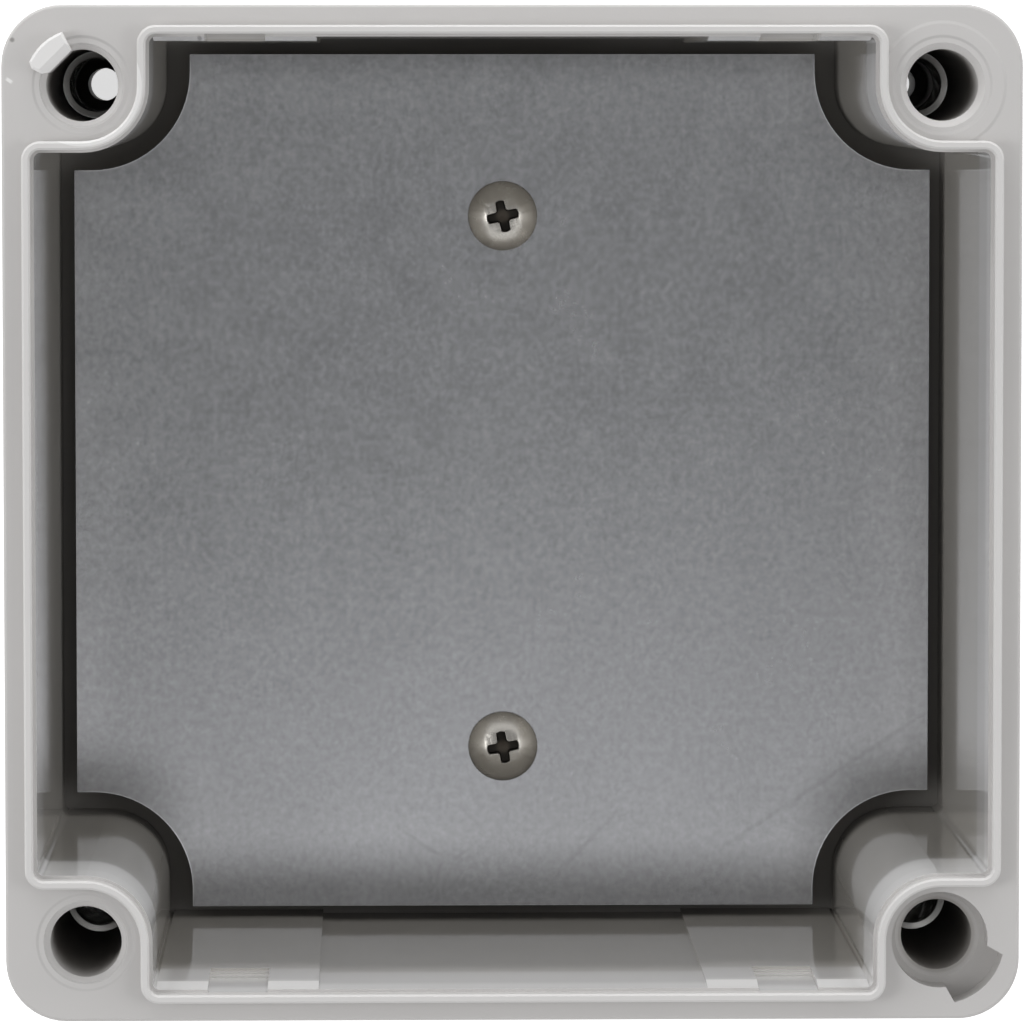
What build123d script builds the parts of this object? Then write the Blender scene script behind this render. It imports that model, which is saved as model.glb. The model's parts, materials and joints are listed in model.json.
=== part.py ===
from build123d import *
from math import isclose, radians, tan
import os

os.makedirs("parts", exist_ok=True)

# Housing: an open box that stands on its flat underside, with its opening upwards
outer_length = 125.0
outer_width = 125.0
land_height = 78.0
outer_corner_radius = 7.5
outer_draft = 0.35
outer_rim_rounding = 0.4
underside_bevel = 1.0
underside_relief_margin = 16.0
underside_relief_depth = 0.6
underside_relief_radius = 6.0
wall = 3.9
floor_thickness = 3.2
inner_corner_radius = 0.9

# Tongue that the lid's seal presses on, standing on the rim behind a narrow ledge
tongue_width = 1.05
tongue_height = 2.4
tongue_bevel = 0.25
ledge_width = 0.35

# Corner wells outside the tongue: lid screws come from above, wall screws go out below
well_inset = 9.85
well_radius = 4.4
well_mouth_bevel = 0.8
well_boss_radius = 8.2
well_floor_height = 10.0
mounting_hole_radius = 2.15

# Threaded sleeves pressed into the wells, on a shoulder
sleeve_top_height = 35.0
sleeve_length = 11.0
sleeve_bore_radius = 3.28
sleeve_lead_in = 0.3
sleeve_shoulder = 0.8

# Key tab at the back left well, and the recess for the lid's key at the front right well
key_chord_distance = 3.85
key_chord_width = 4.4
key_flare = 18.0
key_outer_radius = 6.9
key_corner_cut = 0.6
key_height = 2.6
key_root_depth = 5.0
key_top_bevel = 0.3
key_slope_width = 1.1
key_slope_height = 0.7
recess_depth = 4.5
recess_radius = 5.95
notch_outer_radius = 8.05
notch_start_distance = 3.0
notch_start_width = 6.3
notch_flare = 15.0

# Pads on the front and back walls, each with a long lead-in and a stepped catch pocket
pad_width = 20.0
pad_boss_gap = 0.45
pad_protrusion = 0.5
pad_lead_in_height = 4.3
pad_root = 1.0
pocket_width = 7.4
pocket_depth = 12.8
pocket_step_height = 1.7
pocket_step_count = 3

# Mounting plate
plate_thickness = 1.6
plate_wall_gap = 2.0
plate_relief_radius = 13.0
plate_relief_inset = 2.3
plate_hole_clearance = 0.3

# Bosses and ribs on the floor that carry the plate
plate_screw_end_distance = 21.35
boss_height = 7.0
boss_radius = 5.0
rib_length = 12.0
rib_width = 2.0
rib_end_distance = 21.0
rib_side_distance = 8.0

# Plate screws, and the inserts that hold them in the bosses
screw_length = 8.0
screw_shank_radius = 1.95
screw_clearance = 0.05
screw_head_radius = 4.6
screw_head_height = 2.3
screw_head_edge = 0.3
screw_tip_clearance = 0.6
cross_span = 4.1
cross_arm_width = 1.05
cross_core_radius = 0.95
cross_depth = 1.7
cross_taper = 7.0
back_cross_turn = 13.0
front_cross_turn = 10.0
insert_length = 6.0
insert_radius = 2.8

# Places that follow from the sizes above
inner_length = outer_length - 2 * wall
inner_width = outer_width - 2 * wall
well_x = outer_length / 2 - well_inset
well_y = outer_width / 2 - well_inset
well_spacing_x = 2 * well_x
well_spacing_y = 2 * well_y
boss_top_height = floor_thickness + boss_height
plate_top_height = boss_top_height + plate_thickness
plate_length = inner_length - 2 * plate_wall_gap
plate_width = inner_width - 2 * plate_wall_gap
rib_spacing_x = plate_length - 2 * rib_end_distance
rib_spacing_y = plate_width - 2 * rib_side_distance
screw_y = plate_width / 2 - plate_screw_end_distance
insert_bore_radius = screw_shank_radius + screw_clearance
insert_hole_depth = screw_length - plate_thickness + screw_tip_clearance
sleeve_bottom_height = sleeve_top_height - sleeve_length
pad_centre_x = well_x - well_boss_radius - pad_boss_gap - pad_width / 2
wall_face = inner_width / 2
pad_face = wall_face - pad_protrusion
pocket_back = wall_face + ledge_width
pocket_step_inset = (pocket_back - pad_face) / pocket_step_count


def corner_blocks(centre_x, centre_y, radius, reach):
    """Four discs near the corners, each with straight runs past both of its sides."""
    with BuildSketch() as one_corner:
        with Locations((centre_x, centre_y)):
            Circle(radius)
        with Locations((centre_x - radius, centre_y)):
            Rectangle(radius + reach, reach, align=(Align.MIN, Align.MIN))
        with Locations((centre_x, centre_y - radius)):
            Rectangle(reach, radius + reach, align=(Align.MIN, Align.MIN))
    with BuildSketch() as all_corners:
        add(one_corner.sketch)
        mirror(about=Plane.YZ)
        mirror(about=Plane.XZ)
    return all_corners.sketch


def flared_strip(start, end, start_width, flare):
    """Corners of a strip along X that widens by the flare angle on each side."""
    start_reach = start_width / 2
    end_reach = start_reach + (end - start) * tan(radians(flare))
    return [(start, -start_reach), (end, -end_reach), (end, end_reach), (start, start_reach)]


# Inner contour of the housing at the height of its rim, which the tongue follows
with BuildSketch() as cavity_contour:
    Rectangle(inner_length, inner_width)
    add(corner_blocks(well_x, well_y, well_boss_radius, well_inset), mode=Mode.SUBTRACT)
    side_ends = cavity_contour.vertices().group_by(Axis.X)
    end_ends = cavity_contour.vertices().group_by(Axis.Y)
    fillet(side_ends[0] + side_ends[-1] + end_ends[0] + end_ends[-1], inner_corner_radius)

with BuildSketch() as tongue_inner_contour:
    add(cavity_contour.sketch)
    offset(amount=ledge_width, kind=Kind.ARC)

with BuildSketch() as tongue_outer_contour:
    add(tongue_inner_contour.sketch)
    offset(amount=tongue_width, kind=Kind.ARC)

# Housing: one moulding with its walls, wells, tongue, key, pads and plate supports
with BuildPart() as housing:
    with BuildSketch(Plane.XY.offset(land_height)):
        RectangleRounded(outer_length, outer_width, outer_corner_radius)
    extrude(amount=-land_height, taper=outer_draft)
    chamfer(housing.faces().sort_by(Axis.Z)[0].edges(), underside_bevel)
    fillet(housing.faces().sort_by(Axis.Z)[-1].edges(), outer_rim_rounding)

    # Shallow relief in the underside, so that the box rests on its border
    with BuildSketch():
        RectangleRounded(
            outer_length - 2 * underside_relief_margin,
            outer_width - 2 * underside_relief_margin,
            underside_relief_radius,
        )
    extrude(amount=underside_relief_depth, mode=Mode.SUBTRACT)

    # Tongue, and the opening inside it
    with BuildSketch(Plane.XY.offset(land_height)):
        add(tongue_outer_contour.sketch)
        add(tongue_inner_contour.sketch, mode=Mode.SUBTRACT)
    extrude(amount=tongue_height)
    chamfer(housing.faces().sort_by(Axis.Z)[-1].edges(), tongue_bevel)

    # Cavity, from the ledge down to the floor
    with BuildSketch(Plane.XY.offset(land_height)):
        add(cavity_contour.sketch)
    extrude(amount=floor_thickness - land_height, mode=Mode.SUBTRACT)

    # Wells: wide down to the sleeve's shoulder, narrower below it, then the screw hole
    with Locations((0, 0, land_height)):
        with GridLocations(well_spacing_x, well_spacing_y, 2, 2):
            Hole(well_radius, depth=land_height - sleeve_bottom_height)
            Hole(well_radius - sleeve_shoulder, depth=land_height - well_floor_height)
            Hole(mounting_hole_radius, depth=land_height)

    # Round recess at the front right well, with a flared notch for the lid's key
    recess_plane = Plane(origin=(well_x, -well_y, land_height), x_dir=(1, -1, 0), z_dir=(0, 0, 1))
    with BuildSketch(recess_plane):
        Circle(notch_outer_radius)
        with BuildLine():
            Polyline(
                *flared_strip(notch_start_distance, notch_outer_radius, notch_start_width, notch_flare),
                close=True,
            )
        make_face(mode=Mode.INTERSECT)
        Circle(recess_radius)
    extrude(amount=-recess_depth, mode=Mode.SUBTRACT)

    # Bevelled mouths of the wells
    well_edges = housing.edges().filter_by(GeomType.CIRCLE).filter_by(
        lambda edge: isclose(edge.radius, well_radius)
    )
    chamfer(well_edges.filter_by(lambda edge: edge.center().Z > sleeve_top_height), well_mouth_bevel)

    # Key tab, on the outer side of the back left well, with a slope towards the well
    key_axis = Axis((-well_x, well_y, land_height), (-1, 1, 0))
    key_plane = Plane(origin=key_axis.position, x_dir=key_axis.direction, z_dir=(0, 0, 1))
    with BuildSketch(key_plane.offset(-key_root_depth)) as key_outline:
        Circle(key_outer_radius)
        with BuildLine():
            Polyline(
                *flared_strip(key_chord_distance, key_outer_radius, key_chord_width, key_flare),
                close=True,
            )
        make_face(mode=Mode.INTERSECT)
        chamfer(key_outline.vertices().sort_by(key_axis)[-2:], key_corner_cut)
    extrude(amount=key_root_depth + key_height)
    key_top = housing.faces().sort_by(Axis.Z)[-1]
    chord_edge = key_top.edges().sort_by(key_axis)[0]
    chamfer(chord_edge, key_slope_width, key_slope_height, reference=key_top)
    key_top = housing.faces().sort_by(Axis.Z)[-1]
    chamfer(key_top.edges().sort_by(key_axis)[1:], key_top_bevel)

    # Pads, each an extruded section up the wall, from the floor to the land
    for side in (-1, 1):
        for pad_side in (-1, 1):
            pad_plane = Plane(
                origin=(pad_side * pad_centre_x, 0, 0), x_dir=(0, side, 0), z_dir=(side, 0, 0)
            )
            with BuildSketch(pad_plane):
                with BuildLine():
                    Polyline(
                        (wall_face + pad_root, floor_thickness),
                        (pad_face, floor_thickness),
                        (pad_face, land_height - pad_lead_in_height),
                        (wall_face, land_height),
                        (wall_face + pad_root, land_height),
                        close=True,
                    )
                make_face()
            extrude(amount=pad_width / 2, both=True)

            # Catch pocket: back in line with the tongue, with steps out to the pad's face below
            step_points = [(pocket_back, land_height)]
            for step in range(pocket_step_count):
                step_height = land_height - pocket_depth - step * pocket_step_height
                step_face = pocket_back - step * pocket_step_inset
                step_points += [(step_face, step_height), (step_face - pocket_step_inset, step_height)]
            step_points.append((pad_face, land_height))
            with BuildSketch(pad_plane):
                with BuildLine():
                    Polyline(*step_points, close=True)
                make_face()
            extrude(amount=pocket_width / 2, both=True, mode=Mode.SUBTRACT)

    # Bosses for the plate screws, and ribs near the plate's front and back edges
    with BuildSketch(Plane.XY.offset(floor_thickness)):
        with GridLocations(0, 2 * screw_y, 1, 2):
            Circle(boss_radius)
        with GridLocations(rib_spacing_x, rib_spacing_y, 2, 2):
            Rectangle(rib_length, rib_width)
    extrude(amount=boss_height)
    with Locations((0, 0, boss_top_height)):
        with GridLocations(0, 2 * screw_y, 1, 2):
            Hole(insert_radius, depth=insert_hole_depth)

housing.part.label = "housing"
export_step(housing.part, "parts/housing.step")

# Threaded sleeves in the wells; their threads are left plain at the inner radius
well_names = {
    "front_left": (-well_x, -well_y),
    "front_right": (well_x, -well_y),
    "back_left": (-well_x, well_y),
    "back_right": (well_x, well_y),
}
with BuildPart() as sleeve:
    with BuildSketch(Plane.XY.offset(sleeve_bottom_height)):
        Circle(well_radius)
        Circle(sleeve_bore_radius, mode=Mode.SUBTRACT)
    extrude(amount=sleeve_length)
    chamfer(sleeve.edges().group_by(Axis.Z)[-1].sort_by(SortBy.RADIUS)[0], sleeve_lead_in)
for well_name, (x, y) in well_names.items():
    placed_sleeve = Pos(x, y, 0) * sleeve.part
    placed_sleeve.label = f"well_sleeve_{well_name}"
    export_step(placed_sleeve, f"parts/{placed_sleeve.label}.step")

# Inserts in the plate bosses
with BuildPart() as insert:
    with BuildSketch(Plane.XY.offset(boss_top_height)):
        Circle(insert_radius)
        Circle(insert_bore_radius, mode=Mode.SUBTRACT)
    extrude(amount=-insert_length)
for insert_name, y in (("front", -screw_y), ("back", screw_y)):
    placed_insert = Pos(0, y, 0) * insert.part
    placed_insert.label = f"plate_insert_{insert_name}"
    export_step(placed_insert, f"parts/{placed_insert.label}.step")

# Mounting plate: flat sheet with its corners cut round the wells
with BuildPart() as plate:
    with BuildSketch(Plane.XY.offset(boss_top_height)):
        Rectangle(plate_length, plate_width)
        add(
            corner_blocks(
                plate_length / 2 - plate_relief_inset,
                plate_width / 2 - plate_relief_inset,
                plate_relief_radius,
                2 * plate_relief_inset,
            ),
            mode=Mode.SUBTRACT,
        )
    extrude(amount=plate_thickness)
    with Locations((0, 0, plate_top_height)):
        with GridLocations(0, 2 * screw_y, 1, 2):
            Hole(screw_shank_radius + plate_hole_clearance)

plate.part.label = "mounting_plate"
export_step(plate.part, "parts/mounting_plate.step")

# Plate screws: low domed heads with a cross recess; their threads are left plain
tip_height = plate_top_height - screw_length
dome_rise = screw_head_height - screw_head_edge
dome_radius = (screw_head_radius**2 + dome_rise**2) / (2 * dome_rise)
head_top_height = plate_top_height + screw_head_height
screw_places = (
    ("plate_screw_front", -screw_y, front_cross_turn),
    ("plate_screw_back", screw_y, back_cross_turn),
)
for screw_name, y, cross_turn in screw_places:
    with BuildPart() as screw:
        with BuildSketch(Plane.XZ):
            with BuildLine():
                body_line = Polyline(
                    (0, head_top_height),
                    (0, tip_height),
                    (screw_shank_radius, tip_height),
                    (screw_shank_radius, plate_top_height),
                    (screw_head_radius, plate_top_height),
                    (screw_head_radius, plate_top_height + screw_head_edge),
                )
                RadiusArc(body_line @ 1, body_line @ 0, -dome_radius)
            make_face()
        revolve(axis=Axis.Z)
        with BuildSketch(Plane.XY.offset(head_top_height)):
            with Locations(Location((0, 0, 0), (0, 0, cross_turn))):
                Rectangle(cross_span, cross_arm_width)
                Rectangle(cross_arm_width, cross_span)
            Circle(cross_core_radius)
        extrude(amount=-cross_depth, taper=cross_taper, mode=Mode.SUBTRACT)
    placed_screw = Pos(0, y, 0) * screw.part
    placed_screw.label = screw_name
    export_step(placed_screw, f"parts/{screw_name}.step")
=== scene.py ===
import json
import math

import bpy
import numpy as np
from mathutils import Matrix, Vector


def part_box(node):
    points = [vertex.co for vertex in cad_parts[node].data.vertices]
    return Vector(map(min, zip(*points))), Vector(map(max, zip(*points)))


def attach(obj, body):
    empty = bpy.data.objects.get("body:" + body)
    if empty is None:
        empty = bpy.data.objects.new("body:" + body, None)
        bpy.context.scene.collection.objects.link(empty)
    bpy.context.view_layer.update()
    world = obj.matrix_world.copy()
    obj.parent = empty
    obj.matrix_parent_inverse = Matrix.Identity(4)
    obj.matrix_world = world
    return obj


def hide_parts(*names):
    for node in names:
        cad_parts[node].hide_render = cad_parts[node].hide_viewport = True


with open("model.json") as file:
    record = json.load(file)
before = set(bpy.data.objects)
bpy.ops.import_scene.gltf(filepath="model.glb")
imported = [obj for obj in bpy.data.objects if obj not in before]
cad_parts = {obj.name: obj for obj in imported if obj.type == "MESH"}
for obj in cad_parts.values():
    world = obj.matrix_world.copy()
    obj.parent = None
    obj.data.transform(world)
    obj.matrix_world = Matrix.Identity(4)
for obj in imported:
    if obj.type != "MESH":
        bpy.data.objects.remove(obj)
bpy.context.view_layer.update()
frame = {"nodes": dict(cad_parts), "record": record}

mm = 0.001
white = (1.0, 1.0, 1.0, 1.0)
black = (0.0, 0.0, 0.0, 1.0)

# Sizes and places that the frame gives
mounts = {mount["name"]: mount for mount in frame["record"]["mounts"]}
well_pattern = mounts["lid_screw_sleeves"]["dims"]
well_x = well_pattern["spacing_x_mm"] * mm / 2
well_y = well_pattern["spacing_y_mm"] * mm / 2
land_height = mounts["lid_seat"]["pos_m"][2]
plate_low, plate_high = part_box("mounting_plate")

# Sizes of the housing and the plate that their finishes follow
wall_face = 58.6 * mm
floor_height = 3.2 * mm
corner_cut_radius = 13.0 * mm
corner_cut_inset = 2.3 * mm
mouth_ring_radius = 5.95 * mm
guide_ring_radius = 7.7 * mm
key_reach = 7.4 * mm
recess_reach = 9.0 * mm
gap_width = 0.6 * mm

# Camera: close to straight above the opening, a little behind and left of its middle
image_width = 1024
focal_pixels = 6614.3
camera_place = (-16.88 * mm, 54.37 * mm, 888.07 * mm)
camera_turn = (math.radians(-3.813), math.radians(-1.186), math.radians(-0.027))


def add_camera():
    """A long lens, fitted to the corners of the rim and the plate."""
    camera = bpy.data.cameras.new("camera")
    camera.lens = camera.sensor_width * focal_pixels / image_width
    holder = bpy.data.objects.new("camera", camera)
    holder.location = camera_place
    holder.rotation_euler = camera_turn
    bpy.context.scene.collection.objects.link(holder)
    bpy.context.scene.camera = holder


# Shader maths


class Wire:
    """An output socket that takes part in arithmetic: each operation adds one Math node."""

    def __init__(self, finish, socket):
        self.finish = finish
        self.socket = socket

    def __add__(self, other):
        return self.finish.math("ADD", self, other)

    def __radd__(self, other):
        return self.finish.math("ADD", other, self)

    def __sub__(self, other):
        return self.finish.math("SUBTRACT", self, other)

    def __rsub__(self, other):
        return self.finish.math("SUBTRACT", other, self)

    def __mul__(self, other):
        return self.finish.math("MULTIPLY", self, other)

    def __rmul__(self, other):
        return self.finish.math("MULTIPLY", other, self)

    def __abs__(self):
        return self.finish.math("ABSOLUTE", self)

    def __gt__(self, other):
        return self.finish.math("GREATER_THAN", self, other)

    def __lt__(self, other):
        return self.finish.math("LESS_THAN", self, other)


class Finish:
    """A node tree for one finish, with short ways to add the nodes that its formulas need."""

    def __init__(self, tree):
        self.tree = tree

    def feed(self, socket, value):
        """Links a wire to a socket, or sets the socket to a plain value."""
        if isinstance(value, Wire):
            self.tree.links.new(value.socket, socket)
        else:
            socket.default_value = value

    def node(self, kind, settings=None, inputs=None, output=0):
        """Adds a node, makes its settings, then sets or links its sockets."""
        node = self.tree.nodes.new("ShaderNode" + kind)
        for name, value in (settings or {}).items():
            setattr(node, name, value)
        for name, value in (inputs or {}).items():
            self.feed(node.inputs[name], value)
        return Wire(self, node.outputs[output])

    def math(self, operation, *values):
        return self.node("Math", {"operation": operation}, dict(enumerate(values)))

    def larger(self, first, second):
        return self.math("MAXIMUM", first, second)

    def distance(self, across, along):
        """Length of the plane vector with these two parts."""
        return self.math("SQRT", across * across + along * along)

    def step(self, value, low, high):
        """Rises smoothly from 0 at low to 1 at high."""
        return self.node(
            "MapRange",
            {"interpolation_type": "SMOOTHSTEP"},
            {"Value": value, "From Min": low, "From Max": high},
        )

    def within(self, distance, radius, softness):
        """One inside a radius and 0 outside it, with a soft edge."""
        return 1 - self.step(distance, radius - softness, radius + softness)

    def line(self, offset, half_width):
        """One on a line, where the offset is 0, and 0 from the half width on."""
        return 1 - self.step(abs(offset), half_width * 0.4, half_width)

    def object_place(self):
        return self.node("TexCoord", output="Object")

    def parts(self, place):
        """The x, y and z of a place."""
        split = self.node("SeparateXYZ", inputs={"Vector": place})
        outputs = split.socket.node.outputs
        return [Wire(self, outputs[axis]) for axis in ("X", "Y", "Z")]

    def stretched(self, place, scale):
        """A place scaled along each axis: a scale under 1 draws a pattern out along its axis."""
        return self.node("Mapping", inputs={"Vector": place, "Scale": scale})

    def noise(self, place, size, detail=2.0, roughness=0.5):
        """Smooth noise about 0, whose blobs are about as wide as size."""
        value = self.node(
            "TexNoise",
            inputs={"Vector": place, "Scale": 1 / size, "Detail": detail, "Roughness": roughness},
        )
        return value - 0.5

    def cells(self, place, size, output="Distance"):
        return self.node("TexVoronoi", inputs={"Vector": place, "Scale": 1 / size}, output=output)

    def mix(self, factor, first, second):
        """Colour between two colours: inputs 6 and 7 and output 2 are the Mix node's colour ones."""
        return self.node(
            "Mix",
            {"data_type": "RGBA", "clamp_factor": True},
            {0: factor, 6: first, 7: second},
            output=2,
        )

    def layered(self, colour, *layers):
        """A colour with others laid over it in turn, each by its share from 0 to 1."""
        for share, layer_colour in layers:
            colour = self.mix(share, colour, layer_colour)
        return colour

    def bump(self, height):
        """Normal of a surface raised by a height in metres."""
        return self.node("Bump", inputs={"Strength": 1.0, "Distance": 1.0, "Height": height})


def shade(colour, brightness):
    """A colour made brighter or darker by a factor."""
    return tuple(part * brightness for part in colour[:3]) + (1.0,)


def new_material(name, constants):
    """A material with a Principled shader, whose constants sit on its own sockets."""
    material = bpy.data.materials.new(name)
    material.use_nodes = True
    shader = material.node_tree.nodes["Principled BSDF"]
    for socket, value in constants.items():
        shader.inputs[socket].default_value = value
    return material, Finish(material.node_tree), shader


def speckles(finish, place, spacing, radius, share):
    """Small round specks in a random share of cells, one in each."""
    nearness = finish.cells(place, spacing)
    choice = finish.parts(finish.cells(place, spacing, "Color"))[0]
    return (1 - finish.step(nearness, radius / spacing * 0.5, radius / spacing)) * (choice < share)


def straight_mark(finish, x, y, start, end, half_width):
    """One along a straight run and 0 beside it: distance from the run's axis, faded at its ends."""
    run = np.subtract(end, start)
    length = float(np.hypot(*run))
    fade = min(2 * mm, length / 3)
    along_x, along_y = (float(part) for part in run / length)
    along = (x - start[0]) * along_x + (y - start[1]) * along_y
    across = (y - start[1]) * along_x - (x - start[0]) * along_y
    ends = finish.step(along, 0, fade) * (1 - finish.step(along, length - fade, length))
    return finish.line(across, half_width) * ends


def distance_from_cut(finish, x, y):
    """Distance from the centre of the nearest of the plate's four round corner cuts."""
    return finish.distance(
        abs(x) - (plate_high.x - corner_cut_inset), abs(y) - (plate_high.y - corner_cut_inset)
    )


# Moulded plastic of the housing

plastic_colour = (0.58, 0.568, 0.56, 1.0)
# Pale tone of the nick, also used as painted light on the raised tongue and key and on the walls near
# the rim
pale_and_lit_plastic = (0.86, 0.855, 0.85, 1.0)
# Painted warm tint of bounced light on the lower inner walls
warm_shade_plastic = (0.60, 0.58, 0.545, 1.0)
# Colour of the dust specks, and of painted shade in the gap, the recess and the wells
dust_and_shade_plastic = (0.30, 0.28, 0.25, 1.0)
satin_roughness = 0.62
grained_roughness = 0.46
polished_roughness = 0.08

# Heights of the plastic's relief
satin_grain = 0.008 * mm
outer_grain = 0.03 * mm
drag_depth = 0.003 * mm
flow_depth = 0.05 * mm
ring_depth = 0.10 * mm

# Soft borders between regions of the housing, each from where it starts to where it ends
wall_border = (wall_face + 0.4 * mm, wall_face + 0.6 * mm)
floor_border = (floor_height + 0.1 * mm, floor_height + 0.4 * mm)
rim_border = (land_height - 0.5 * mm, land_height - 0.1 * mm)
tongue_border = (land_height + 0.2 * mm, land_height + 2.5 * mm)
well_edge = (4.6 * mm, 4.9 * mm)
boss_edge = (7.5 * mm, 7.9 * mm)
boss_surroundings = (10.0 * mm, 12.0 * mm)
outer_face_border = (61.0 * mm, 61.6 * mm)
outer_top_border = (77.0 * mm, 77.8 * mm)
warm_shade_border = (55.0 * mm, 70.0 * mm)
# Painted light on the walls near the rim rises between these heights
rim_light_border = (61.0 * mm, 64.0 * mm)
brightest_rim_light_border = (71.0 * mm, 75.0 * mm)
# Painted shade down the wells fades out between these heights
well_shade_border = (67.0 * mm, 79.0 * mm)
# Painted shade in the gap round the plate fades out between these heights
gap_shade_border = (plate_low.z - 1.0 * mm, plate_low.z + 4.0 * mm)

# Marks on the rim: two dark specks and a pale nick
dark_specks = ((-61.1 * mm, 58.2 * mm), (-38.3 * mm, 58.4 * mm))
speck_edge = (0.15 * mm, 0.4 * mm)
lowest_speck = 70.0 * mm
land_nick = ((-62.0 * mm, 53.6 * mm), (-61.0 * mm, 52.9 * mm), 0.3 * mm)


def dust_specks(finish, place, x, y, z):
    """Scattered specks of dust, with the two larger ones on the rim."""
    dust = speckles(finish, place, spacing=6.0 * mm, radius=0.2 * mm, share=0.15)
    for speck_x, speck_y in dark_specks:
        speck = 1 - finish.step(finish.distance(x - speck_x, y - speck_y), *speck_edge)
        dust = finish.larger(dust, speck * (z > lowest_speck))
    return dust


def gap_round_plate(finish, x, y, z, reach):
    """One in the gap between the plate's edge and the walls, low down, and 0 elsewhere."""
    beside_plate = finish.larger(
        finish.step(reach, plate_high.x - gap_width, plate_high.x),
        1 - finish.step(
            distance_from_cut(finish, x, y), corner_cut_radius, corner_cut_radius + gap_width
        ),
    )
    return beside_plate * (1 - finish.step(z, *gap_shade_border))


def plastic_finish():
    """Light grey ABS: polished inner walls, a satin rim with witness rings, grained outer walls."""
    material, finish, shader = new_material("housing_plastic", {"IOR": 1.52})
    place = finish.object_place()
    x, y, z = finish.parts(place)
    reach = finish.larger(abs(x), abs(y))
    from_well = finish.distance(abs(x) - well_x, abs(y) - well_y)

    # Regions, each 1 in its own place and 0 elsewhere
    inside = 1 - finish.step(reach, *wall_border)
    below_rim = 1 - finish.step(z, *rim_border)
    above_floor = finish.step(z, *floor_border)
    at_corner = (abs(x) > well_x) * (abs(y) > well_y)
    beside_boss = finish.step(from_well, *boss_edge) * (1 - at_corner)
    polished = inside * below_rim * above_floor * beside_boss
    outer = finish.step(reach, *outer_face_border) * (1 - finish.step(z, *outer_top_border))
    on_boss = 1 - finish.step(from_well, *boss_surroundings)
    on_land = finish.line(z - land_height, 0.2 * mm)
    proud = finish.step(z, *tongue_border)
    on_key = (x < 0) * (y > 0) * (from_well < key_reach)
    recess_corner = (x > 0) * (y < 0)
    shaded_key_recess = recess_corner * (from_well < recess_reach) * (1 - beside_boss) * below_rim
    shaded_well = (1 - finish.step(from_well, *well_edge)) * (1 - finish.step(z, *well_shade_border))

    # Witness rings of the mould's pins: sunk round three mouths, with a raised one at the back right
    guide_corner = (x > 0) * (y > 0)
    sunk = finish.within(from_well, mouth_ring_radius, 0.25 * mm) * (1 - recess_corner)
    raised = finish.within(from_well, guide_ring_radius, 0.25 * mm) * guide_corner
    ring_relief = on_land * (raised - sunk)
    # A thin darker line along the sunk rings: painted shade at their step
    ring_shade_line = on_land * (1 - recess_corner) * finish.line(from_well - mouth_ring_radius, 0.2 * mm)

    # Patterns of the moulding: slow flow, upright drag marks on the walls and fine grain
    flow = finish.noise(place, 28 * mm, detail=3)
    drag = finish.noise(finish.stretched(place, (1, 1, 0.03)), 1.6 * mm)
    grain = finish.noise(place, 0.22 * mm, detail=3)

    # Painted light makes the walls paler towards the rim and on the bosses; painted shade darkens the
    # gap low round the plate, the recess and the insides of the wells.
    rim_light_share = 0.3 + 0.6 * on_boss + 0.5 * finish.step(z, *brightest_rim_light_border)
    painted_rim_light = polished * finish.step(z, *rim_light_border) * rim_light_share
    shaded_gap = gap_round_plate(finish, x, y, z, reach) * inside
    nick = straight_mark(finish, x, y, *land_nick) * on_land
    tone = finish.layered(
        finish.mix(flow * 1.6 + 0.5, shade(plastic_colour, 0.975), shade(plastic_colour, 1.02)),
        # painted warm tint of bounced light on the lower inner walls
        (polished * (1 - finish.step(z, *warm_shade_border)), warm_shade_plastic),
        # painted light on the upper walls and bosses
        (painted_rim_light, pale_and_lit_plastic),
        # painted light: the raised tongue and key tab made paler than the land, the key most
        (proud * (0.28 + 0.4 * on_key), pale_and_lit_plastic),
        # painted shade at the sunk rings' step
        (ring_shade_line * 0.12, shade(plastic_colour, 0.5)),
        # painted shade low in the gap round the plate
        (shaded_gap * 0.65, shade(dust_and_shade_plastic, 0.85)),
        # painted shade in the recess by the front right well
        (shaded_key_recess * 0.15, dust_and_shade_plastic),
        # painted shade down the insides of the wells
        (shaded_well * 0.6, dust_and_shade_plastic),
        (dust_specks(finish, place, x, y, z) * 0.6, shade(dust_and_shade_plastic, 0.4)),
        (nick * 0.8, pale_and_lit_plastic),
    )
    finish.feed(shader.inputs["Base Color"], tone)

    roughness = (
        satin_roughness
        + (grained_roughness - satin_roughness) * outer
        + (polished_roughness - satin_roughness) * polished
        + (0.1 * flow + 0.08 * grain) * (1 - polished)
    )
    finish.feed(shader.inputs["Roughness"], roughness)

    height = (
        grain * (satin_grain + outer_grain * outer) * (1 - polished)
        + drag * polished * drag_depth
        + flow * (1 - 0.8 * polished) * flow_depth
        + ring_relief * ring_depth
    )
    finish.feed(shader.inputs["Normal"], finish.bump(height))
    return material


# Galvanised steel of the mounting plate

zinc_colour = (0.47, 0.476, 0.495, 1.0)
zinc_roughness = 0.25
fleck_relief = 0.007 * mm
patch_relief = 0.014 * mm
# Width of the painted highlight along the edges of the corner cuts
edge_highlight_border = (0.05 * mm, 0.22 * mm)

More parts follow.
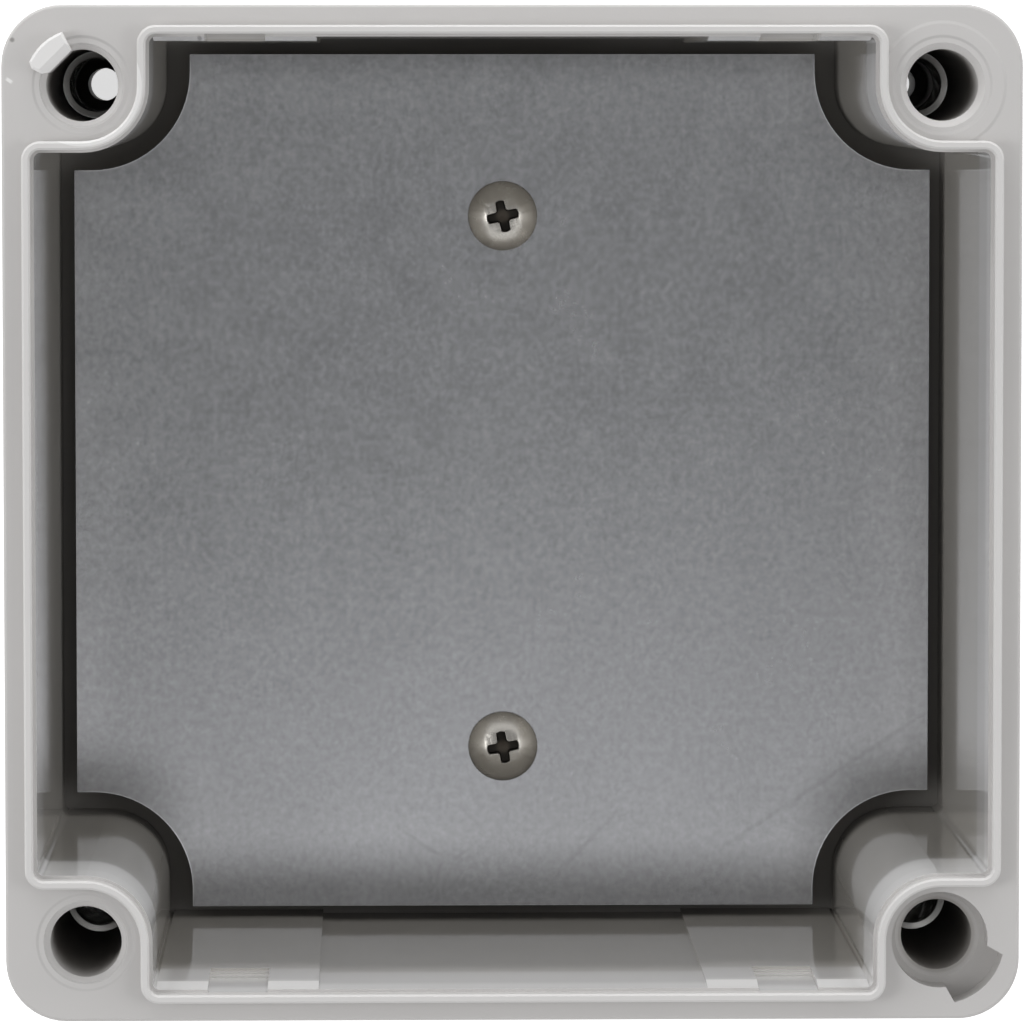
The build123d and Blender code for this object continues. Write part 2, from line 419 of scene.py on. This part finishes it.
# Marks of handling: each scratch has its start, its end and its half width
arc_scratch_centre = (1.3 * mm, 34.2 * mm)
arc_scratch_radius = 17.1 * mm
arc_scratch_half_width = 0.5 * mm
arc_scratch_fade = (23.0 * mm, 26.0 * mm)
light_scratches = (
    ((23.0 * mm, 9.0 * mm), (57.5 * mm, 15.2 * mm), 0.45 * mm),
    ((-5.6 * mm, 7.4 * mm), (-0.8 * mm, 12.2 * mm), 0.3 * mm),
)
dark_scratches = (
    ((8.0 * mm, -51.6 * mm), (16.0 * mm, -43.2 * mm), 0.4 * mm),
    ((28.4 * mm, -49.5 * mm), (57.5 * mm, -30.2 * mm), 0.4 * mm),
    ((-14.2 * mm, -45.8 * mm), (-7.2 * mm, -50.8 * mm), 0.35 * mm),
    ((-7.2 * mm, -50.8 * mm), (-3.6 * mm, -48.5 * mm), 0.35 * mm),
)
smear_place = (-6.2 * mm, -3.0 * mm)
smear_squash = 0.3
smear_edge = (0.3 * mm, 1.6 * mm)


def light_marks(finish, x, y, wander):
    """Rubbed places: an arc that fades towards the back, straight scratches and an upright smear."""
    from_arc = finish.distance(x - arc_scratch_centre[0], y - arc_scratch_centre[1])
    marks = finish.line(from_arc - arc_scratch_radius + wander, arc_scratch_half_width)
    marks = marks * (1 - finish.step(y, *arc_scratch_fade))
    for scratch in light_scratches:
        marks = finish.larger(marks, straight_mark(finish, x + wander, y + wander, *scratch))
    from_smear = finish.distance(x - smear_place[0], (y - smear_place[1]) * smear_squash)
    return finish.larger(marks, (1 - finish.step(from_smear, *smear_edge)) * 0.5)


def dark_marks(finish, place, x, y, wander):
    """Small dark specks and fainter dark scratches."""
    marks = speckles(finish, place, spacing=5.0 * mm, radius=0.2 * mm, share=0.25)
    for scratch in dark_scratches:
        scratched = straight_mark(finish, x + wander, y + wander, *scratch)
        marks = finish.larger(marks, scratched * 0.35)
    return marks


def galvanised_finish():
    """Dull zinc: mottled in flecks a little longer from front to back, with marks of handling."""
    material, finish, shader = new_material("galvanised_sheet", {"Metallic": 1.0})
    place = finish.object_place()
    x, y = finish.parts(place)[:2]
    flecks = finish.noise(finish.stretched(place, (1, 0.8, 1)), 0.9 * mm, detail=4, roughness=0.7)
    fine = finish.noise(finish.stretched(place, (1, 0.7, 1)), 0.4 * mm, detail=2)
    patches = finish.noise(finish.stretched(place, (1, 0.8, 1)), 6 * mm, detail=3)
    clouds = finish.noise(place, 26 * mm, detail=2)
    wander = patches * 0.8 * mm
    light = light_marks(finish, x, y, wander) * (0.5 + fine)
    dark = dark_marks(finish, place, x, y, wander)
    # Painted highlight along the edges of the corner cuts, where the cut edge catches light
    painted_edge_highlight = 1 - finish.step(distance_from_cut(finish, x, y) - corner_cut_radius, *edge_highlight_border)

    mottle = flecks * 2.4 + patches * 0.8 + 0.5
    tone = finish.layered(
        finish.mix(mottle, shade(zinc_colour, 0.86), shade(zinc_colour, 1.14)),
        (light * 0.18, shade(zinc_colour, 1.45)),
        (dark * 0.5, shade(zinc_colour, 0.5)),
        (painted_edge_highlight * 0.8, shade(zinc_colour, 1.7)),
    )
    finish.feed(shader.inputs["Base Color"], tone)
    roughness = zinc_roughness + flecks * 0.06 + patches * 0.05 + clouds * 0.05 - light * 0.03
    finish.feed(shader.inputs["Roughness"], roughness)
    finish.feed(shader.inputs["Normal"], finish.bump(flecks * fleck_relief + patches * patch_relief))
    return material


# Sizes of the plate screws

screw_low, screw_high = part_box("plate_screw_back")
screw_y = (screw_low.y + screw_high.y) / 2
head_radius = (screw_high.x - screw_low.x) / 2
head_top = screw_high.z
head_height = head_top - plate_high.z
head_edge = 0.3 * mm
dome_rise = head_height - head_edge
dome_radius = (head_radius**2 + dome_rise**2) / (2 * dome_rise)
screw_pitch = 0.7 * mm
screw_thread_depth = 0.36 * mm
screw_shank_radius = 1.95 * mm
screw_point_radius = 0.6 * mm
screw_point_bevel = 0.45 * mm
thread_start = 0.24 * mm
thread_run_in = 0.6 * mm

# Cross recess in the screws' heads
cross_span = 4.2 * mm
cross_arm_width = 1.25 * mm
cross_arm_taper = 0.05
cross_arm_rounding = 0.6
cross_core_radius = 1.04 * mm
cross_depth = 1.75 * mm
cross_floor_rise = 0.35
cross_wall_slope = 9.0
cross_lip_width = 0.03 * mm
cross_rounding = 0.12 * mm
dish_reach = 2.15 * mm
dish_depth = 0.05 * mm
dish_slope_width = 0.6 * mm


# Plated metals of the screws, sleeves and inserts

screw_colour = (0.66, 0.635, 0.59, 1.0)
# Painted shade deep in the cross recess, from the first depth to the second, with a paler painted
# highlight at its core
recess_shade_colour = (0.018, 0.015, 0.012, 1.0)
recess_shade_depths = (0.25 * mm, 0.7 * mm)
turning_relief = 0.002 * mm


def tarnished(finish, place, colour, tarnish):
    """The colour of turned metal in soft patches, with the patches and the fine turning marks."""
    patches = finish.noise(place, 1.6 * mm, detail=3)
    fine = finish.noise(place, 0.12 * mm, detail=2)
    tone = finish.mix(patches * 1.8 + 0.5, shade(colour, 1 - tarnish), shade(colour, 1.06))
    return tone, patches, fine


def turned_metal_finish(name, colour, roughness, tarnish):
    """Plated or bare turned metal: fine turning marks, tarnish in soft patches."""
    material, finish, shader = new_material(name, {"Metallic": 1.0})
    tone, patches, fine = tarnished(finish, finish.object_place(), colour, tarnish)
    finish.feed(shader.inputs["Base Color"], tone)
    finish.feed(shader.inputs["Roughness"], roughness + patches * 0.12 + fine * 0.1)
    finish.feed(shader.inputs["Normal"], finish.bump(fine * turning_relief))
    return material


def screw_finish():
    """Plated screw, tarnished in soft patches, with painted shade deep in its cross recess, a painted
    highlight at the recess's core and painted shade at the head's edge.
    """
    material, finish, shader = new_material("plated_screw", {"Metallic": 1.0})
    place = finish.object_place()
    x, y, z = finish.parts(place)
    tone, patches, fine = tarnished(finish, place, screw_colour, 0.1)

    # Depth below the dome, whose height falls with the square of the distance from the axis
    from_axis = finish.distance(x, abs(y) - screw_y)
    depth = head_top - from_axis * from_axis * (0.5 / dome_radius) - z
    in_recess = 1 - finish.step(from_axis, cross_span * 0.52, cross_span * 0.58)
    lit_core = 1 - finish.step(from_axis, 0.4 * mm, 1.2 * mm)
    # Painted shade: the head darkens towards its edge
    shaded_edge = finish.step(from_axis, head_radius - 0.9 * mm, head_radius)
    # Painted shade deep in the cross recess, with a painted highlight at its core
    shaded_recess = finish.step(depth, *recess_shade_depths) * in_recess
    recess_shade = finish.mix(lit_core, recess_shade_colour, shade(recess_shade_colour, 5.0))
    tone = finish.layered(tone, (shaded_edge * 0.4, shade(screw_colour, 0.7)), (shaded_recess * 0.95, recess_shade))
    finish.feed(shader.inputs["Base Color"], tone)
    finish.feed(shader.inputs["Roughness"], 0.25 + patches * 0.14 + fine * 0.1 + shaded_recess * 0.3)
    finish.feed(shader.inputs["Normal"], finish.bump(fine * turning_relief))
    return material


# Turned pieces


def turned_mesh(name, radius, height, centre, material, ring=False):
    """A turned surface: row i, column j lies radius[i, j] from the axis, turned by 2 pi j / columns,
    at height[i, j]. A solid's first and last rows are closed by poles on the axis; a ring's last
    row joins its first."""
    rows, columns = radius.shape
    angle = np.arange(columns) * 2 * math.pi / columns
    points = np.stack(
        [
            centre[0] + radius * np.cos(angle),
            centre[1] + radius * np.sin(angle),
            centre[2] + height,
        ],
        axis=-1,
    ).reshape(-1, 3)
    index = np.arange(rows * columns).reshape(rows, columns)
    upper, lower = index, np.roll(index, -1, axis=0)
    if not ring:
        upper, lower = index[:-1], index[1:]
    quads = np.stack(
        [upper, lower, np.roll(lower, -1, axis=1), np.roll(upper, -1, axis=1)], axis=-1
    ).reshape(-1, 4)
    faces = quads.tolist()
    if not ring:
        poles = [(*centre[:2], centre[2] + height[end].mean()) for end in (0, -1)]
        top, bottom = len(points), len(points) + 1
        points = np.concatenate([points, poles])
        first, last = index[0], index[-1]
        faces += np.stack([np.full(columns, top), first, np.roll(first, -1)], axis=-1).tolist()
        faces += np.stack([np.full(columns, bottom), np.roll(last, -1), last], axis=-1).tolist()
    mesh = bpy.data.meshes.new(name)
    mesh.from_pydata(points.tolist(), [], faces)
    mesh.polygons.foreach_set("use_smooth", np.ones(len(mesh.polygons), bool))
    mesh.materials.append(material)
    piece = bpy.data.objects.new(name, mesh)
    bpy.context.scene.collection.objects.link(piece)
    return piece


def spread(*corners, count):
    """Rows of (radius, height) along straight runs between corners, closer at the corners: the
    share of a run that is covered follows half a cosine wave."""
    share = (1 - np.cos(np.linspace(0, math.pi, count)))[:, None] / 2
    runs = [
        np.array(start) + share * (np.array(end) - np.array(start))
        for start, end in zip(corners, corners[1:])
    ]
    return np.concatenate([run[:-1] for run in runs] + [runs[-1][-1:]])


def thread_depth(height, angle, pitch, depth):
    """Depth below the crest of a right-hand thread. The phase goes from 0 to 1 in one pitch of
    height and back by 1 in one turn. The depth is a triangle wave of the phase, made a quarter too
    tall and cut off at 0 and at the full depth, so that the crest is flat over half a pitch and
    the root over a tenth of one."""
    phase = (height / pitch - angle / (2 * math.pi)) % 1
    return depth * np.clip(1.25 - 1.25 * np.abs(4 * phase - 2), 0, 1)


# Plate screws

screw_columns = 240
recess_rows = 72
dome_rows = 22
shank_rows = 150


def recess_depth(across, along):
    """Depth of a cross recess in a shallow square dish. The cross is the union of four arms, which
    narrow outwards and end round, and a round core. Its walls go down by their slope times the
    distance inside that outline, to a floor that rises outwards with a power of the distance from
    the middle, and a smooth minimum rounds the foot of the walls."""
    reach = np.hypot(across, along)
    long_way = np.maximum(np.abs(across), np.abs(along))
    short_way = np.minimum(np.abs(across), np.abs(along))
    arm_side = cross_arm_width / 2 - short_way - cross_arm_taper * (long_way - cross_span / 4)
    arm_end = cross_span / 2 - long_way - cross_arm_rounding * short_way**2 / cross_arm_width
    inside = np.maximum(np.minimum(arm_side, arm_end), cross_core_radius - reach)
    wall = np.clip(inside + cross_lip_width, 0, None) * cross_wall_slope
    floor = cross_depth * (1 - cross_floor_rise * (reach / (cross_span / 2)) ** 1.3)
    blend = np.clip(0.5 + (floor - wall) / (2 * cross_rounding), 0, 1)
    cross = floor + (wall - floor) * blend - cross_rounding * blend * (1 - blend)
    dish = dish_depth * np.clip((dish_reach - long_way) / dish_slope_width, 0, 1)
    return np.maximum(cross, dish)


def plate_screw(name, node, cross_turn, material):
    """A turned profile from the middle of the dome to the point. The dome is a sphere's cap, less
    the depth of the cross recess, and the shank is a cylinder, less the depth of its thread."""
    low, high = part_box(node)
    seat = high.z - head_height
    centre = ((low.x + high.x) / 2, (low.y + high.y) / 2, seat)
    length = seat - low.z
    angle = np.arange(screw_columns) * 2 * math.pi / screw_columns

    # Dome, from the middle out to the rounded edge, with close rows over the recess
    dome_reach = np.concatenate(
        [
            np.linspace(0.02 * mm, cross_span * 0.55, recess_rows),
            np.linspace(cross_span * 0.56, head_radius, dome_rows),
        ]
    )[:, None]
    across = dome_reach * np.cos(angle - cross_turn)
    along = dome_reach * np.sin(angle - cross_turn)
    cap = head_height - dome_radius + np.sqrt(dome_radius**2 - dome_reach**2)
    dome = cap - recess_depth(across, along)
    dome_radii = np.broadcast_to(dome_reach, dome.shape)

    # Edge of the head, its seat and the shank down to the point
    under = spread(
        (head_radius, head_edge * 0.7),
        (head_radius, head_edge * 0.25),
        (head_radius - 0.08 * mm, 0),
        (screw_shank_radius, 0),
        count=4,
    )
    drop = np.linspace(0.05 * mm, length, shank_rows)
    shank = np.stack([np.full_like(drop, screw_shank_radius), -drop], axis=-1)
    shank[:, 0] -= np.clip(screw_point_bevel - (length - drop), 0, None)
    rest = np.concatenate([under, shank, [(screw_point_radius, -length)]])
    rest_height = np.broadcast_to(rest[:, 1:], (len(rest), screw_columns))
    threaded = np.clip((-rest_height - thread_start) / thread_run_in, 0, 1)
    threaded = threaded * (rest[:, :1] > screw_point_radius * 2)
    cut = thread_depth(rest_height, angle, screw_pitch, screw_thread_depth)
    rest_radii = rest[:, :1] - threaded * cut

    piece = turned_mesh(
        name,
        np.concatenate([dome_radii, rest_radii]),
        np.concatenate([dome, rest_height]),
        centre,
        material,
    )
    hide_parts(node)
    return piece


# Threaded sleeves and inserts

# The lead-in is the bevel at the bore's mouth; the top falls inward by top_slope times its width
sleeve_sizes = {
    "bore": 3.28 * mm,
    "pitch": 1.0 * mm,
    "depth": 0.45 * mm,
    "lead_in": 0.08 * mm,
    "top_slope": 0.14,
    "knurls": 32,
}
insert_sizes = {
    "bore": 2.0 * mm,
    "pitch": 0.7 * mm,
    "depth": 0.3 * mm,
    "lead_in": 0.2 * mm,
    "top_slope": 0.0,
    "knurls": 24,
}
ring_columns = 96
rows_per_turn = 12
ring_bevel = 0.05 * mm
groove_depth = 0.3 * mm
knurl_depth = 0.1 * mm
bore_thread_run_in = 0.5 * mm


def threaded_ring(name, node, material, bore, pitch, depth, lead_in, top_slope, knurls):
    """A turned profile that closes on itself: bottom, knurled outside with a middle groove, sloped
    top, bevelled mouth and threaded bore. The outside sinks by a cosine of the angle times the
    number of knurls, and the bore widens by the height of its thread, which fades at both ends."""
    low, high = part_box(node)
    centre = ((low.x + high.x) / 2, (low.y + high.y) / 2, low.z)
    outer = (high.x - low.x) / 2
    length = high.z - low.z
    mouth_height = length - top_slope * (outer - bore)
    angle = np.arange(ring_columns) * 2 * math.pi / ring_columns
    outside = spread(
        (bore, 0),
        (outer - ring_bevel, 0),
        (outer, ring_bevel),
        (outer, length * 0.4),
        (outer - groove_depth, length * 0.4),
        (outer - groove_depth, length * 0.6),
        (outer, length * 0.6),
        (outer, length - ring_bevel),
        (outer - ring_bevel, length),
        (bore + lead_in, mouth_height),
        count=5,
    )
    climb = np.linspace(mouth_height - lead_in, 0.02 * mm, int(length / pitch * rows_per_turn))
    bore_rows = np.stack([np.full_like(climb, bore), climb], axis=-1)
    rows = np.concatenate([outside, bore_rows])
    heights = np.broadcast_to(rows[:, 1:], (len(rows), ring_columns))
    radii = np.broadcast_to(rows[:, :1], heights.shape).copy()
    on_bore = np.arange(len(rows))[:, None] >= len(outside)
    from_ends = np.minimum(heights, length - heights)
    threaded = on_bore * np.clip(from_ends / bore_thread_run_in, 0, 1)
    radii += threaded * (depth - thread_depth(heights, angle, pitch, depth))
    on_side = (rows[:, :1] > outer - 0.01 * mm) & ~on_bore
    radii -= on_side * knurl_depth * (0.5 + 0.5 * np.cos(angle * knurls))
    piece = turned_mesh(name, radii, heights, centre, material, ring=True)
    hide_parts(node)
    return piece


# Floor, sky and lamps

floor_colour = (0.80, 0.80, 0.80, 1.0)
floor_glow = 0.7
floor_reach = 3.0
floor_level = -0.02 * mm

# Tent: its brightness at the opening, and what it gains between two angles from there in radians
tent_opening_shift = 0.05
tent_opening_strength = 0.20
tent_gains = ((0.08, 0.06, 0.24), (0.44, 0.5, 0.7), (-0.05, 0.95, 1.15))

# Lamps: name, place, what they aim at, width and depth in metres, and power in watts
lamps = (
    ("over_front", (0.02, -0.168, 1.0), (0.0, -0.04, 0.01), (0.26, 0.10), 0.10),
    ("over_back", (0.0, 0.12, 1.0), (0.0, -0.04, 0.01), (0.4, 0.05), 0.05),
    ("left", (-1.0, 0.0, 0.85), (0.0, 0.0, 0.05), (0.5, 0.8), 4.2),
    ("right", (1.0, 0.0, 0.85), (0.0, 0.0, 0.05), (0.5, 0.8), 2.4),
    ("behind", (0.0, 1.2, 0.28), (0.0, 0.0, 0.07), (1.8, 0.08), 9.5),
)


def seen_directly(finish):
    """One for rays from the camera and for mirrored and refracted rays, 0 for the rest."""
    from_camera = finish.node("LightPath", output="Is Camera Ray")
    outputs = from_camera.socket.node.outputs
    mirrored = Wire(finish, outputs["Is Glossy Ray"])
    refracted = Wire(finish, outputs["Is Transmission Ray"])
    return finish.larger(from_camera, finish.larger(mirrored, refracted))


def add_floor():
    """A pale table that glows a little to the camera, still takes a shadow, and is clear from
    below. It lies just under the housing, so that the two faces don't show through each other."""
    material, finish, shader = new_material(
        "studio_floor", {"Base Color": floor_colour, "Roughness": 0.9, "Emission Strength": 1.0}
    )
    glow = finish.mix(seen_directly(finish), black, shade(white, floor_glow))
    finish.feed(shader.inputs["Emission Color"], glow)
    table = Wire(finish, shader.outputs["BSDF"])
    from_below = finish.node("NewGeometry", output="Backfacing")
    clear = finish.node("BsdfTransparent")
    surface = finish.node("MixShader", inputs={0: from_below, 1: table, 2: clear})
    finish.feed(material.node_tree.nodes["Material Output"].inputs["Surface"], surface)

    corners = [
        (side_x * floor_reach, side_y * floor_reach, floor_level)
        for side_x, side_y in ((-1, -1), (1, -1), (1, 1), (-1, 1))
    ]
    mesh = bpy.data.meshes.new("studio_floor")
    mesh.from_pydata(corners, [], [(0, 1, 2, 3)])
    mesh.materials.append(material)
    floor = bpy.data.objects.new("studio_floor", mesh)
    bpy.context.scene.collection.objects.link(floor)


def add_sky():
    """A white tent: dark at the opening straight above, where the camera stands, and even beyond."""
    world = bpy.data.worlds.new("studio")
    world.use_nodes = True
    bpy.context.scene.world = world
    finish = Finish(world.node_tree)
    background = world.node_tree.nodes["Background"]
    x, y, z = finish.parts(finish.node("TexCoord", output="Generated"))
    from_opening = finish.math("ARCTAN2", finish.distance(x, y - tent_opening_shift), z)
    strength = tent_opening_strength
    for gain, start, end in tent_gains:
        strength = strength + gain * finish.step(from_opening, start, end)
    from_camera = finish.node("LightPath", output="Is Camera Ray")
    finish.feed(background.inputs["Color"], white)
    finish.feed(background.inputs["Strength"], strength + from_camera * (1 - strength))


def add_lamp(name, place, aim, size, power):
    """A soft rectangular lamp at a place, turned to face what it aims at."""
    light = bpy.data.lights.new(name, "AREA")
    light.shape = "RECTANGLE"
    light.size, light.size_y = size
    light.energy = power
    lamp = bpy.data.objects.new(name, light)
    lamp.location = place
    direction = np.array(aim) - np.array(place)
    lamp.rotation_euler = Vector(direction).to_track_quat("-Z", "Y").to_euler()
    bpy.context.scene.collection.objects.link(lamp)


# Make everything

add_camera()
add_floor()
add_sky()
for lamp in lamps:
    add_lamp(*lamp)

for node, material in (("housing", plastic_finish()), ("mounting_plate", galvanised_finish())):
    slots = frame["nodes"][node].data.materials
    slots.clear()
    slots.append(material)

screw_material = screw_finish()
sleeve_material = turned_metal_finish("sleeve_metal", (0.86, 0.85, 0.83), roughness=0.22, tarnish=0.05)
insert_material = turned_metal_finish("insert_brass", (0.62, 0.47, 0.22), roughness=0.30, tarnish=0.15)

cross_turns = {"front": math.radians(10), "back": math.radians(13)}
for end, turn in cross_turns.items():
    screw = plate_screw(f"detailed_screw_{end}", f"plate_screw_{end}", turn, screw_material)
    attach(screw, f"{end}_screw")

for end in ("front", "back"):
    node = f"plate_insert_{end}"
    ring = threaded_ring(f"threaded_{node}", node, insert_material, **insert_sizes)
    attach(ring, "base")
    for side in ("left", "right"):
        node = f"well_sleeve_{end}_{side}"
        ring = threaded_ring(f"threaded_{node}", node, sleeve_material, **sleeve_sizes)
        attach(ring, "base")

bpy.context.scene.view_settings.view_transform = "Standard"
